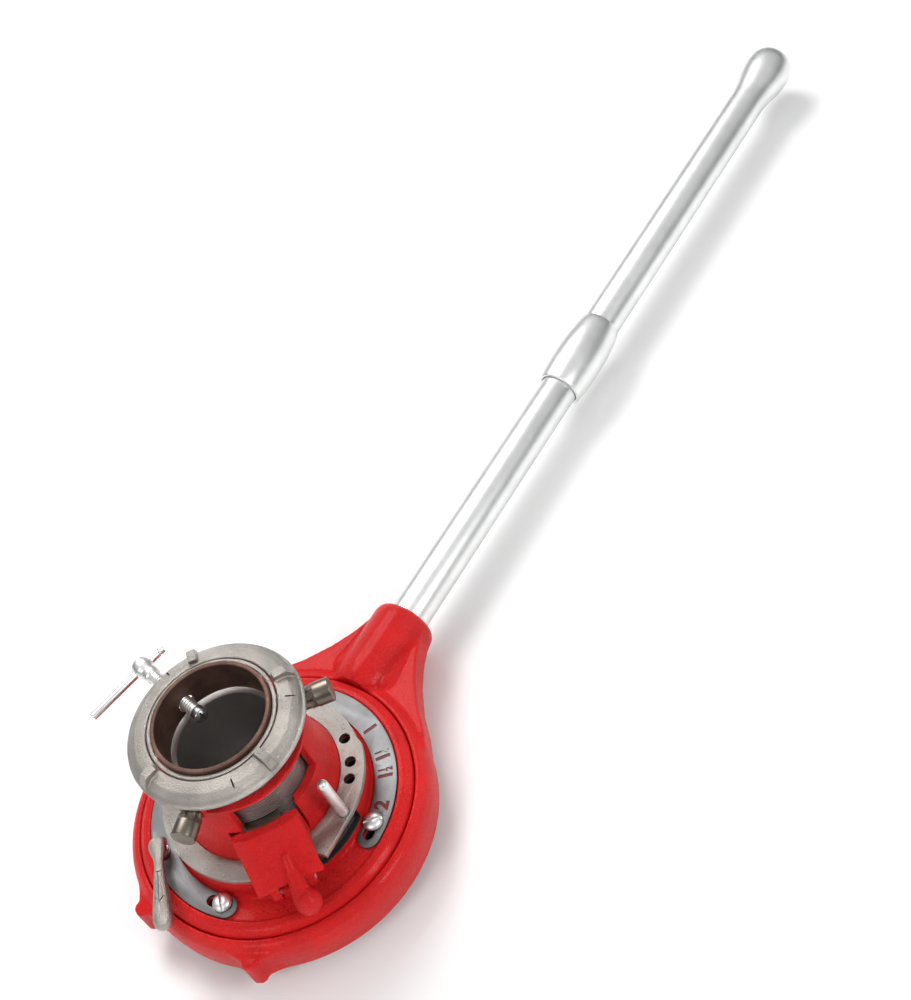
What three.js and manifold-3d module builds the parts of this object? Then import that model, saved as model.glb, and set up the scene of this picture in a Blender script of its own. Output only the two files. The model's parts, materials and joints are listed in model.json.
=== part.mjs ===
// Hand-held ratchet pipe threader: a receding-die head with a cam workholder, a half-nut
// lead-screw feed and a two-piece tubular handle.
//
// Millimetres. The tool axis (the pipe's axis) is vertical. Heights are counted from the top of the
// size plate (z = 0), angles are counted from +X towards +Y, and the handle lies along +Y.
// The exported group moves this tool frame so that the origin is the bottom centre of the whole.

import * as THREE from 'three';
import { mergeVertices } from 'three/addons/utils/BufferGeometryUtils.js';
import Module from 'manifold-3d';

const wasm = await Module();
wasm.setup();

// ---------------------------------------------------------------- driving dimensions

const GAP = 0.3;                       // clearance between touching pieces
const ROUND = 40;                      // segments round a large turned piece
const HANDLE_ROUND = 20;               // segments round the handle
const SMALL = 12;                      // segments round a pin or a screw

const BASE_Z = -48;                    // die-side face that the tool rests on
const HANDLE_TIP_Y = 716;
const LEAST_Y = -106.7;                // end of the lock lever
const HANDLE_Z = -17.2;                // height of the handle's axis
const PIPE_OD = 26.7;                  // handle tube: 3/4 inch pipe
const PIPE_ID = 21;

const BARREL_R = 40.3;                 // lead screw, crest radius
const BARREL_BORE_R = 33.5;            // passes 2 inch pipe, 60.3 mm outside diameter
const BARREL_Z = [-18, 72];

const CAGE_BORE_R = 41.5;
const CAGE_R = 47.5;
const CAGE_FOOT_R = 52;
const CAGE_Z = [15.1, 70.2];
const WINDOW_Z = [44, 67.5];
const WINDOW_ANGLE = [-56, 21];        // degrees

const HUB_R = 65.5;                    // raised middle of the drum
const HUB_TOP_Z = 14.8;
const DISC_R = 91.6;                   // drum flange inside the ratchet ring
const DISC_EDGE_Z = -4.6;
const SKIRT_R = 78;
const DIE_POCKET_R = 70;
const DIE_POCKET_Z = -24.2;

const SIZE_PLATE_R = [67.8, 82.4];
const SIZE_PLATE_MID_R = 75.1;
const SIZE_PLATE_THICK = 2.3;
const SIZE_PLATE_ANGLE = [2, 282];
const SIZE_SCREW_ANGLE = [9.5, -80.5];
const SIZE_SLOTS = [[3, 12], [-86.5, -78.5]];
const SLOT_HALF_WIDTH = 3.7;

const LEVER_STUD = { radius: 76, angle: -127.6 };

const SELECTOR_Z = [15.2, 19.1];
const SELECTOR_R = [52.4, 67.5];
const SELECTOR_HOLE_R = 58.7;
const SELECTOR_HOLES = [54.8, 37.2, 25.5];
const SELECTOR_TIP = [72.5, -19.5];    // radius and angle of the pointed corner
const SELECTOR_STEP_ANGLE = [6, 48];
const SELECTOR_SWEEP = 57;             // degrees from the 2 inch to the 1 inch setting
const PIN_R = 3.5;
const PIN_FOOT_R = 62.8;
const PIN_ANGLE = 4;
const PIN_LEAN = 2.5;                  // degrees, towards the tool axis
const PIN_LENGTH = 36.5;

const BLOCK_ANGLE = -40;               // throw-out lever's middle
const BLOCK_WIDTH = 43;
const BLOCK_TOP_Z = 43.7;
const THROW_PIVOT_R = 71.5;
const THROW_PIVOT_Z = 9.5;
const HALF_NUT_WIDTH = 22;             // rises inside the window as the lever tips
const HALF_NUT_Z = [23, 43];

const WORK_R = 50;                     // workholder body
const WORK_Z = [70.8, 89.4];
const JAW_Z = 82;
const JAW_ANGLES = [46.5, -73.5];
const CLAMP_ANGLE = 167;
const JAW_HOLE_R = 5.8;
const JAW_R = 5.4;
const SLEEVE_R = [35.3, 38.2];
const SLEEVE_Z = [75.5, 101.5];
const CAM_RING_R = [41.9, 57];
const CAM_LUG_ANGLES = [141, 60, -11, -106];

const RING_R = 101.4;                  // ratchet ring, widest
const RING_Z = [-34, -5];
const GEAR_TEETH = 32;
const GEAR_R = [78.3, 82.3, 88];       // bore, tooth root, tooth tip
const GEAR_Z = [-24.4, -12.4];
const BOSS_END_Y = 155;
const BOSS_R = 21.5;
const SOCKET_Y = 121.5;
const SET_SCREW_Y = 140;
const PAWL_Z = -18.4;
const PAWL_DROP = 6.5;                 // from held out to seated between two gear teeth

const DIE_ANGLES = [45, 135, 225, 315];
const DIE_WIDTH = 14;
const DIE_EDGE_R = 29.5;               // cutting edge at the 2 inch setting
const DIE_BACK_R = 64;
const DIE_Z = [-43.6, -30.6];
const DIE_TRAVEL = 13.4;               // from the 2 inch to the 1 inch setting
const DIE_POST_RADIUS = 60;            // from the tool axis
const CARRIER_R = 69.6;
const THROAT_R = 36.5;                 // bore of the die-side plates
const COVER_SCREW_R = 74;
const COVER_SCREW_ANGLES = [0, 90, 180, 270];

// ---------------------------------------------------------------- materials

const finish = (color, roughness, metalness) => ({ color, roughness, metalness });
const RED = finish(0xc8202a, 0.35, 0.1);
const NICKEL = finish(0xa89f94, 0.38, 1);
const ZINC = finish(0xc4c6c8, 0.32, 1);
const PLATE = finish(0x98989a, 0.4, 1);
const BRONZE = finish(0x6c6353, 0.45, 1);
const BLACK = finish(0x1c1b1b, 0.4, 0.9);
const RUST = finish(0x5f3b30, 0.6, 0.7);
const STEEL = finish(0x7c7f82, 0.35, 1);

// ---------------------------------------------------------------- small helpers

const rad = THREE.MathUtils.degToRad;

const polar = (radius, degrees, z = 0) =>
  new THREE.Vector3(radius * Math.cos(rad(degrees)), radius * Math.sin(rad(degrees)), z);

// Closed, merged copy of a geometry with its faces pointing out.
function closed(geometry) {
  const bare = geometry.clone();
  bare.deleteAttribute('normal');
  bare.deleteAttribute('uv');
  const merged = mergeVertices(bare, 1e-4);
  const index = merged.index.array;
  const faces = [];
  for (let i = 0; i < index.length; i += 3) {
    const [a, b, c] = [index[i], index[i + 1], index[i + 2]];
    if (a !== b && b !== c && c !== a) faces.push([a, b, c]);
  }
  const point = (i) => new THREE.Vector3().fromBufferAttribute(merged.attributes.position, i);
  const volume = faces.reduce((sum, [a, b, c]) => sum + point(a).dot(point(b).cross(point(c))), 0);
  const facing = volume < 0 ? faces.map(([a, b, c]) => [a, c, b]) : faces;
  merged.setIndex(facing.flat());
  return merged;
}

function toManifold(geometry) {
  const body = closed(geometry);
  return new wasm.Manifold(new wasm.Mesh({
    numProp: 3,
    vertProperties: new Float32Array(body.attributes.position.array),
    triVerts: new Uint32Array(body.index.array),
  }));
}

function fromManifold(manifold) {
  const mesh = manifold.getMesh();
  const geometry = new THREE.BufferGeometry();
  geometry.setAttribute('position', new THREE.BufferAttribute(new Float32Array(mesh.vertProperties), 3));
  geometry.setIndex(Array.from(mesh.triVerts));
  return geometry;
}

const cut = (body, tools) =>
  fromManifold(tools.reduce((rest, tool) => rest.subtract(toManifold(tool)), toManifold(body)));

const join = (bodies) =>
  fromManifold(bodies.slice(1).reduce((sum, body) => sum.add(toManifold(body)), toManifold(bodies[0])));

const common = (first, second) => fromManifold(toManifold(first).intersect(toManifold(second)));

// Turned piece about the tool axis from a closed [radius, z] profile.
function turned(profile, segments = ROUND) {
  const points = profile.map(([radius, z]) => new THREE.Vector2(radius, z));
  points.push(points[0].clone());
  return new THREE.LatheGeometry(points, segments).rotateX(Math.PI / 2);
}

// Plain washer or tube about the tool axis.
const tube = (inner, outer, z0, z1, segments = ROUND) =>
  turned([[inner, z0], [outer, z0], [outer, z1], [inner, z1]], segments);

// Solid round bar along +Z.
const bar = (radius, z0, z1, segments = SMALL) =>
  new THREE.CylinderGeometry(radius, radius, z1 - z0, segments)
    .rotateX(Math.PI / 2)
    .translate(0, 0, (z0 + z1) / 2);

// Turned piece whose own axis (+Z of its profile) lies along the handle.
const alongHandle = (geometry, z = HANDLE_Z) => geometry.rotateX(-Math.PI / 2).translate(0, 0, z);

// Piece built along +Z, laid on a radius of the tool at a height.
const alongRadius = (geometry, degrees, z) =>
  geometry.rotateY(Math.PI / 2).rotateZ(rad(degrees)).translate(0, 0, z);

const block = (x0, x1, y0, y1, z0, z1) =>
  new THREE.BoxGeometry(x1 - x0, y1 - y0, z1 - z0)
    .translate((x0 + x1) / 2, (y0 + y1) / 2, (z0 + z1) / 2);

const extrude = (shape, z0, z1, curveSegments = 24) =>
  new THREE.ExtrudeGeometry(shape, { depth: z1 - z0, bevelEnabled: false, curveSegments })
    .translate(0, 0, z0);

function sector(inner, outer, [from, to]) {
  const shape = new THREE.Shape();
  shape.absarc(0, 0, outer, rad(from), rad(to), false);
  shape.absarc(0, 0, inner, rad(to), rad(from), true);
  shape.closePath();
  return shape;
}

// Slot with round ends along an arc of the tool.
function arcSlot(radius, halfWidth, [from, to]) {
  const [a, b] = [rad(from), rad(to)];
  const start = polar(radius, from);
  const end = polar(radius, to);
  const shape = new THREE.Shape();
  shape.absarc(0, 0, radius + halfWidth, a, b, false);
  shape.absarc(end.x, end.y, halfWidth, b, b + Math.PI, false);
  shape.absarc(0, 0, radius - halfWidth, b, a, true);
  shape.absarc(start.x, start.y, halfWidth, a + Math.PI, a + 2 * Math.PI, false);
  return shape;
}

const threader = new THREE.Group();

function piece(name, geometry, look) {
  const mesh = new THREE.Mesh(closed(geometry), new THREE.MeshStandardMaterial(look));
  mesh.name = name;
  threader.add(mesh);
  return mesh;
}

// ---------------------------------------------------------------- die head

const LINK_R = 57.5;                   // posts that join the selector plate to the cam plate
const LINK_POST_R = 3;
const LINK_ANGLES = [75, 155, 240];
const LINK_SLOT = { halfWidth: 3.8, before: 2, after: SELECTOR_SWEEP + 2 };

const LUG_WIDTH = 16;                  // drum lug that carries the throw-out lever

function throwPlaced(geometry) {
  return geometry.rotateZ(rad(BLOCK_ANGLE));
}

function drumBody() {
  const casting = turned([
    [CAGE_BORE_R, DIE_POCKET_Z], [DIE_POCKET_R, DIE_POCKET_Z], [DIE_POCKET_R, -44], [SKIRT_R, -44],
    [SKIRT_R, -11.7], [DISC_R, -11.7], [DISC_R, DISC_EDGE_Z], [88, -1.2], [83, -0.3],
    [82.9, -SIZE_PLATE_THICK - GAP], [67.4, -SIZE_PLATE_THICK - GAP], [HUB_R, 0],
    [HUB_R, 13.6], [HUB_R - 1.2, HUB_TOP_Z], [CAGE_BORE_R, HUB_TOP_Z],
  ]);
  const tools = LINK_ANGLES.map((angle) => extrude(
    arcSlot(LINK_R, LINK_SLOT.halfWidth, [angle - LINK_SLOT.before, angle + LINK_SLOT.after]), -30, 20, 8));
  tools.push(extrude(sector(60, HUB_R + 1, [-23, 10]), 1.5, 12.5, 8));
  SIZE_SCREW_ANGLE.forEach((angle) => {
    const hole = bar(3.2, -16, 1).translate(...polar(SIZE_PLATE_MID_R - 1.6, angle));
    tools.push(hole);
  });
  SIZE_SLOTS.forEach((span) => tools.push(extrude(arcSlot(SIZE_PLATE_MID_R - 1.2, 3, span), -10.5, 0, 8)));
  SELECTOR_HOLES.forEach((angle) => tools.push(bar(3.7, 8, 20).translate(...polar(SELECTOR_HOLE_R, angle))));
  tools.push(bar(3.2, -9, 1).translate(...polar(LEVER_STUD.radius, LEVER_STUD.angle)));
  COVER_SCREW_ANGLES.forEach((angle) => {
    tools.push(bar(2.9, -60, -36.5).translate(...polar(COVER_SCREW_R, angle)));
  });
  const lug = throwPlaced(block(HUB_R - 3, THROW_PIVOT_R + 3.4, -LUG_WIDTH / 2, LUG_WIDTH / 2, -2, 13));
  const pinHole = throwPlaced(bar(2.6, -12, 12).rotateX(Math.PI / 2)
    .translate(THROW_PIVOT_R, 0, THROW_PIVOT_Z));
  return cut(join([casting, lug]), [...tools, pinHole]);
}

function gearShape() {
  const shape = new THREE.Shape();
  const pitch = 360 / GEAR_TEETH;
  for (let tooth = 0; tooth < GEAR_TEETH; tooth += 1) {
    const start = 90 + (tooth + 0.5) * pitch;
    const flank = [[GEAR_R[1], -0.16], [GEAR_R[2], -0.12], [GEAR_R[2], 0.12], [GEAR_R[1], 0.16]];
    flank.forEach(([radius, part], step) => {
      const corner = polar(radius, start + part * pitch);
      if (tooth === 0 && step === 0) shape.moveTo(corner.x, corner.y);
      else shape.lineTo(corner.x, corner.y);
    });
  }
  shape.closePath();
  return shape;
}

piece('drum_body', drumBody(), RED);
piece('ratchet_gear', cut(extrude(gearShape(), ...GEAR_Z), [tube(0, GEAR_R[0], -40, 0)]), STEEL);
piece('ring_retainer', tube(SKIRT_R + GAP, 91.8, -32.4, -25.3), STEEL);

function hubCage() {
  const shell = turned([
    [CAGE_BORE_R, CAGE_Z[0]], [CAGE_FOOT_R, CAGE_Z[0]], [CAGE_FOOT_R, 20], [50, 24], [48.4, 31],
    [CAGE_R, 42], [CAGE_R, CAGE_Z[1]], [CAGE_BORE_R, CAGE_Z[1]],
  ]);
  const window = extrude(sector(30, 60, WINDOW_ANGLE), WINDOW_Z[0], WINDOW_Z[1], 12);
  const reach = BLOCK_WIDTH / 2 + 0.4;
  const nutOpening = throwPlaced(block(30, 60, -reach, reach, 20.5, WINDOW_Z[0] + 1));
  return cut(shell, [window, nutOpening]);
}

piece('hub_cage', hubCage(), RED);

function sizePlate() {
  const plate = extrude(sector(SIZE_PLATE_R[0], SIZE_PLATE_R[1], SIZE_PLATE_ANGLE),
    -SIZE_PLATE_THICK, 0, 32);
  const endR = (SIZE_PLATE_R[1] - SIZE_PLATE_R[0]) / 2;
  const ends = SIZE_PLATE_ANGLE.map((angle) => bar(endR, -SIZE_PLATE_THICK, 0)
    .translate(...polar(SIZE_PLATE_MID_R, angle)));
  const slots = SIZE_SLOTS.map((span) => extrude(
    arcSlot(SIZE_PLATE_MID_R - 1.2, SLOT_HALF_WIDTH, span), -5, 5, 8));
  const studHole = extrude(arcSlot(LEVER_STUD.radius, 3.5,
    [LEVER_STUD.angle + 360 - 6, LEVER_STUD.angle + 360 + 2]), -5, 5, 8);
  return cut(join([plate, ...ends]), [...slots, studHole]);
}

piece('size_plate', sizePlate(), PLATE);

// Slotted round-head screw: head radius, head height, shank radius, shank depth.
function slottedScrew(headR, headH, shankR, depth) {
  const screw = turned([
    [0, -depth], [shankR, -depth], [shankR, 0], [headR, 0], [headR, headH * 0.35],
    [headR * 0.8, headH * 0.8], [headR * 0.4, headH], [0, headH],
  ], SMALL);
  return cut(screw, [block(-headR, headR, -0.7, 0.7, headH * 0.45, headH + 1)]);
}

SIZE_SCREW_ANGLE.forEach((angle, i) => {
  const screw = piece(`size_screw_${i + 1}`, slottedScrew(6.4, 4, 2.8, 12), ZINC);
  screw.position.copy(polar(SIZE_PLATE_MID_R - 1.6, angle, GAP));
  screw.rotation.z = rad(angle + 35);
});

// ---------------------------------------------------------------- throw-out lever and half nut

// One casting in two pieces, split level just above the selector plate, so that neither wraps round it.
const LEVER_SPLIT_Z = 20.2;

function throwoutLever(low, high) {
  const top = 52;
  const foot = 73.5;
  const wall = 68.8;
  const earAcross = 11.5;
  const side = new THREE.Shape();
  side.moveTo(top - 7.5, BLOCK_TOP_Z);
  side.lineTo(top, BLOCK_TOP_Z);
  side.lineTo(foot, 18.5);
  side.quadraticCurveTo(foot + 1.6, 15, foot - 0.8, 13.6);
  side.lineTo(wall, 13.6);
  side.lineTo(wall, 20.6);
  side.lineTo(top + 6, 22);
  side.lineTo(top - 7.5, 22);
  const slab = new THREE.ExtrudeGeometry(side, { depth: BLOCK_WIDTH, bevelEnabled: false, curveSegments: 4 })
    .rotateX(Math.PI / 2)
    .translate(0, BLOCK_WIDTH / 2, 0);
  const roundFace = turned([[0, 0], [79, 0], [79, 14], [53.5, BLOCK_TOP_Z], [53.5, 50], [0, 50]], ROUND);
  const arm = new THREE.CylinderGeometry(4.6, 6.5, 38, SMALL)
    .rotateZ(-Math.PI / 2)
    .rotateY(rad(35))
    .translate(71, 4, 22);
  const ball = new THREE.SphereGeometry(7.4, 12, 8).translate(88, 6, 11.5);
  const ears = [-earAcross, earAcross].flatMap((y) => [
    bar(4.8, -2.9, 2.9).rotateX(Math.PI / 2).translate(THROW_PIVOT_R, y, THROW_PIVOT_Z),
    block(wall, foot + 0.8, y - 2.9, y + 2.9, THROW_PIVOT_Z, 15)]);
  const lugRoom = block(60, 90, -LUG_WIDTH / 2 - GAP, LUG_WIDTH / 2 + GAP, 0, 16);
  const nutRoom = turned([[0, 22.5], [46.8, 22.5], [46.8, 50], [0, 50]], ROUND);
  const plateRoom = turned([[0, 12], [68.4, 12], [68.4, 20.3], [58, 21.9], [0, 21.9]]);
  const pinHole = bar(2.6, -40, 40).rotateX(Math.PI / 2).translate(THROW_PIVOT_R, 0, THROW_PIVOT_Z);
  const outer = cut(common(slab, roundFace), [lugRoom, nutRoom]);
  const whole = cut(join([outer, arm, ball, ...ears]), [lugRoom, plateRoom, pinHole]);
  return throwPlaced(common(whole, block(30, 110, -30, 30, low, high)));
}

function halfNut() {
  const ring = tube(BARREL_R + GAP, 46.4, ...HALF_NUT_Z);
  return throwPlaced(common(ring, block(20, 60, -HALF_NUT_WIDTH / 2, HALF_NUT_WIDTH / 2, 10, 60)));
}

piece('throwout_lever', throwoutLever(LEVER_SPLIT_Z + GAP, BLOCK_TOP_Z + 1), RED);
piece('throwout_foot', throwoutLever(0, LEVER_SPLIT_Z), RED);
piece('half_nut', halfNut(), BRONZE);
piece('throwout_pin', throwPlaced(bar(2.3, -14.5, 14.5).rotateX(Math.PI / 2)
  .translate(THROW_PIVOT_R, 0, THROW_PIVOT_Z)), ZINC);

// ---------------------------------------------------------------- selector plate, pin and die cam

function selectorShape() {
  const outer = SELECTOR_R[1];
  const [edge, step] = SELECTOR_STEP_ANGLE;
  const tip = polar(...SELECTOR_TIP);
  const shape = new THREE.Shape();
  shape.absarc(0, 0, outer, rad(edge), rad(step), false);
  shape.absarc(0, 0, outer - 1.8, rad(step + 4), rad(180), false);
  shape.absarc(0, 0, outer - 1.4, rad(180), rad(360 + SELECTOR_TIP[1] - 3.5), false);
  shape.lineTo(tip.x, tip.y);
  shape.closePath();
  return shape;
}

const pinAxis = () => {
  const lean = rad(PIN_LEAN);
  return polar(-Math.sin(lean), PIN_ANGLE, Math.cos(lean));
};

// Lays a piece built along +Z on the pin's leaning axis, from the top of the selector plate.
function onPinAxis(geometry) {
  const turn = new THREE.Quaternion().setFromUnitVectors(new THREE.Vector3(0, 0, 1), pinAxis());
  return geometry.applyQuaternion(turn).translate(...polar(PIN_FOOT_R, PIN_ANGLE, SELECTOR_Z[1]));
}

// The pin's domed top clears the cage as the pin is lifted.
const selectorPin = () => onPinAxis(turned([
  [0, -2.6], [PIN_R, -2.6], [PIN_R, PIN_LENGTH - 3.5], [PIN_R * 0.83, PIN_LENGTH - 1.4],
  [PIN_R * 0.46, PIN_LENGTH - 0.3], [0, PIN_LENGTH],
], SMALL));

function selectorPlate() {
  const plate = extrude(selectorShape(), ...SELECTOR_Z, 12);
  const bore = tube(0, SELECTOR_R[0], 10, 25);
  const holes = SELECTOR_HOLES.map((angle) => bar(3.7, 10, 25).translate(...polar(SELECTOR_HOLE_R, angle)));
  const sockets = LINK_ANGLES.map((angle) => bar(LINK_POST_R - 0.4 + GAP, 10, 17)
    .translate(...polar(LINK_R, angle)));
  return cut(plate, [bore, ...holes, ...sockets, onPinAxis(bar(PIN_R + GAP, -8, 8))]);
}

piece('selector_plate', selectorPlate(), NICKEL);
piece('selector_pin', selectorPin(), ZINC);

const CAM_PLATE_Z = [-30.2, -24.6];

function camPlate() {
  const disc = tube(CAGE_BORE_R, DIE_POCKET_R - 0.7, ...CAM_PLATE_Z);
  const slots = DIE_ANGLES.map((angle) => spiralSlot(angle));
  const sockets = LINK_ANGLES.map((angle) => bar(LINK_POST_R - 0.4 + GAP, -27.5, -20)
    .translate(...polar(LINK_R, angle)));
  return cut(disc, [...slots, ...sockets]);
}

// Spiral slot that draws a die inwards by its travel as the cam plate turns through its sweep.
function spiralSlot(angle) {
  const halfWidth = 3.1;
  const steps = 10;
  const spine = [];
  for (let i = -1; i <= steps + 1; i += 1) {
    const part = i / steps;
    spine.push(polar(DIE_POST_RADIUS - DIE_TRAVEL * part, angle - SELECTOR_SWEEP * part));
  }
  const side = (sign) => spine.map((point, i) => {
    const before = spine[Math.max(i - 1, 0)];
    const after = spine[Math.min(i + 1, spine.length - 1)];
    const run = after.clone().sub(before).normalize();
    return new THREE.Vector2(point.x - sign * run.y * halfWidth, point.y + sign * run.x * halfWidth);
  });
  return extrude(new THREE.Shape([...side(1), ...side(-1).reverse()]), -35, -20);
}

piece('die_cam_plate', camPlate(), STEEL);

LINK_ANGLES.forEach((angle, i) => {
  const post = turned([
    [0, -27], [LINK_POST_R - 0.4, -27], [LINK_POST_R - 0.4, CAM_PLATE_Z[1] + GAP],
    [LINK_POST_R, CAM_PLATE_Z[1] + GAP], [LINK_POST_R, SELECTOR_Z[0] - GAP],
    [LINK_POST_R - 0.4, SELECTOR_Z[0] - GAP], [LINK_POST_R - 0.4, 16.7], [0, 16.7],
  ], SMALL);
  piece(`selector_post_${i + 1}`, post, STEEL).position.copy(polar(LINK_R, angle));
});

// ---------------------------------------------------------------- dies, carrier and cover

function dieCarrier() {
  const disc = tube(THROAT_R, CARRIER_R, -43.9, -30.5);
  const slots = DIE_ANGLES.map((angle) =>
    block(20, DIE_BACK_R + 2.5, -DIE_WIDTH / 2 - GAP, DIE_WIDTH / 2 + GAP, -50, -20).rotateZ(rad(angle)));
  return cut(disc, slots);
}

function die() {
  const teeth = 6;
  const [bottom, top] = DIE_Z;
  const pitch = (top - bottom) / teeth;
  const side = new THREE.Shape();
  side.moveTo(DIE_BACK_R, bottom);
  side.lineTo(DIE_BACK_R, top);
  for (let tooth = 0; tooth < teeth; tooth += 1) {
    side.lineTo(DIE_EDGE_R + 1.4, top - tooth * pitch);
    side.lineTo(DIE_EDGE_R, top - (tooth + 0.5) * pitch);
  }
  side.lineTo(DIE_EDGE_R + 1.4, bottom);
  side.closePath();
  const body = new THREE.ExtrudeGeometry(side, { depth: DIE_WIDTH, bevelEnabled: false })
    .rotateX(Math.PI / 2)
    .translate(0, DIE_WIDTH / 2, 0);
  const post = bar(2.5, top - 2, CAM_PLATE_Z[1] - 1.2).translate(DIE_POST_RADIUS, 0, 0);
  return join([body, post]);
}

piece('die_carrier', dieCarrier(), STEEL);
DIE_ANGLES.forEach((angle, i) => {
  piece(`die_${i + 1}`, die(), BLACK).rotation.z = rad(angle);
});

function coverPlate() {
  const plate = turned([[THROAT_R, BASE_Z], [SKIRT_R - 1, BASE_Z], [SKIRT_R, BASE_Z + 1],
    [SKIRT_R, -44.3], [THROAT_R, -44.3]]);
  const holes = COVER_SCREW_ANGLES.map((angle) => turned([
    [0, -60], [5.2, -60], [5.2, -46.2], [2.9, -46.2], [2.9, -40], [0, -40],
  ], SMALL).translate(...polar(COVER_SCREW_R, angle)));
  return cut(plate, holes);
}

piece('cover_plate', coverPlate(), STEEL);

COVER_SCREW_ANGLES.forEach((angle, i) => {
  const screw = turned([
    [0, -47.6], [4.8, -47.6], [4.8, -46.5], [2.5, -46.5], [2.5, -37], [0, -37],
  ], SMALL);
  const slotted = cut(screw, [block(-6, 6, -0.6, 0.6, -50, -47)]);
  const mesh = piece(`cover_screw_${i + 1}`, slotted, ZINC);
  mesh.position.copy(polar(COVER_SCREW_R, angle));
  mesh.rotation.z = rad(30 + 50 * i);
});

// ---------------------------------------------------------------- lock lever on the drum

const LEVER_Z = 9.6;
const LEVER_LENGTH = 54;
const LEVER_HEADING = -48;

function lockLever() {
  const stations = [[0, 6.2], [5, 5.2], [10, 3.2], [15, 3.1], [24, 4], [38, 5.4], [48, 6.3], [54, 6.4]];
  const arm = new THREE.LatheGeometry([
    new THREE.Vector2(0, -6.2), new THREE.Vector2(4.6, -4.2),
    ...stations.map(([y, radius]) => new THREE.Vector2(radius, y)),
    new THREE.Vector2(4.6, LEVER_LENGTH + 4.4), new THREE.Vector2(0, LEVER_LENGTH + 6.2),
  ], SMALL).rotateZ(-Math.PI / 2).scale(1, 1, 0.78);
  return cut(arm, [bar(2.9, -8, 1.5)]);
}

const leverStud = turned([
  [0, -8], [2.9, -8], [2.9, 0.5], [4.6, 0.5], [4.6, LEVER_Z - 5.5], [2.5, LEVER_Z - 5.5],
  [2.5, LEVER_Z + 0.8], [0, LEVER_Z + 0.8],
], SMALL);
piece('lock_lever_stud', leverStud, ZINC).position.copy(polar(LEVER_STUD.radius, LEVER_STUD.angle));

const lever = piece('lock_lever', lockLever(), NICKEL);
lever.position.copy(polar(LEVER_STUD.radius, LEVER_STUD.angle, LEVER_Z));
lever.rotation.z = rad(LEVER_HEADING);

// ---------------------------------------------------------------- lead screw and workholder

piece('lead_screw', turned([
  [BARREL_BORE_R, BARREL_Z[0]], [BARREL_R - 1, BARREL_Z[0]], [BARREL_R, BARREL_Z[0] + 1],
  [BARREL_R, BARREL_Z[1]], [BARREL_BORE_R, BARREL_Z[1]],
]), BLACK);

const radialHole = (radius, from, to, angle) => alongRadius(bar(radius, from, to), angle, JAW_Z);

function workholderBody() {
  const ring = turned([
    [BARREL_R + 0.5, WORK_Z[0]], [WORK_R - 0.8, WORK_Z[0]], [WORK_R, WORK_Z[0] + 0.8],
    [WORK_R, WORK_Z[1]], [SLEEVE_R[1] + GAP, WORK_Z[1]], [SLEEVE_R[1] + GAP, SLEEVE_Z[0] - 0.5],
    [36.8, SLEEVE_Z[0] - 0.5], [36.8, BARREL_Z[1] + GAP], [BARREL_R + 0.5, BARREL_Z[1] + GAP],
  ]);
  const bosses = [...JAW_ANGLES, CLAMP_ANGLE].map((angle) => common(
    alongRadius(bar(8.2, 40, 54), angle, JAW_Z), tube(WORK_R - 2, 60, WORK_Z[0], WORK_Z[1])));
  const holes = JAW_ANGLES.flatMap((angle) => [
    radialHole(JAW_HOLE_R, 30, 60, angle), radialHole(6.9, 45.5, 60, angle)]);
  return cut(join([ring, ...bosses]), [
    ...holes, radialHole(JAW_HOLE_R, 30, 44, CLAMP_ANGLE), radialHole(5, 40, 60, CLAMP_ANGLE)]);
}

piece('workholder_body', workholderBody(), RED);
piece('bore_sleeve', cut(
  turned([[SLEEVE_R[0], SLEEVE_Z[0]], [SLEEVE_R[1], SLEEVE_Z[0]], [SLEEVE_R[1], SLEEVE_Z[1] - 0.8],
    [SLEEVE_R[1] - 0.8, SLEEVE_Z[1]], [SLEEVE_R[0] + 0.6, SLEEVE_Z[1]], [SLEEVE_R[0], SLEEVE_Z[1] - 0.6]]),
  [...JAW_ANGLES, CLAMP_ANGLE].map((angle) => radialHole(JAW_HOLE_R, 25, 45, angle))), RUST);
piece('cam_ring_clip', tube(SLEEVE_R[1] + GAP, CAM_RING_R[0] - 0.4, 97, 99.8), ZINC);

function camRing() {
  const [inner, outer] = CAM_RING_R;
  const dome = turned([
    [inner, 89.8], [outer - 0.6, 89.8], [outer, 90.4], [outer, 91.6], [outer - 2, 92.2],
    [outer - 3.2, 94.6], [50, 97.6], [46, 98.6], [inner + 0.8, 99], [inner, 98.4],
  ]);
  const lugs = CAM_LUG_ANGLES.map((angle) => {
    const side = new THREE.Shape();
    side.moveTo(42.6, 97);
    side.lineTo(55.4, 92.4);
    side.lineTo(55.8, 95.5);
    side.lineTo(52, 102);
    side.lineTo(43.6, 102.6);
    return new THREE.ExtrudeGeometry(side, { depth: 5.6, bevelEnabled: false })
      .rotateX(Math.PI / 2)
      .translate(0, 2.8, 0)
      .rotateZ(rad(angle));
  });
  return join([dome, ...lugs]);
}

piece('cam_ring', camRing(), NICKEL);

JAW_ANGLES.forEach((angle, i) => {
  const jaw = turned([[0, 35], [JAW_R, 35], [JAW_R, 67.4], [0, 67.4]], SMALL);
  piece(`jaw_${i + 1}`, alongRadius(jaw, angle, JAW_Z), STEEL);
  const cap = turned([
    [JAW_HOLE_R, 46], [6.6, 46], [6.6, 57], [7, 57], [7, 60], [7.6, 60.4],
    [7.6, 70.4], [7, 71], [0, 71], [0, 68], [JAW_HOLE_R, 68],
  ], SMALL);
  piece(`jaw_cap_${i + 1}`, alongRadius(cap, angle, JAW_Z), BRONZE);
});

// ---------------------------------------------------------------- clamp screw with its T-bar

const CLAMP_TIP_R = 18;
const CLAMP_HEAD_R = 81;
const CLAMP_BAR = { radius: 2.6, long: 43.3, short: 17.4 };

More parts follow.
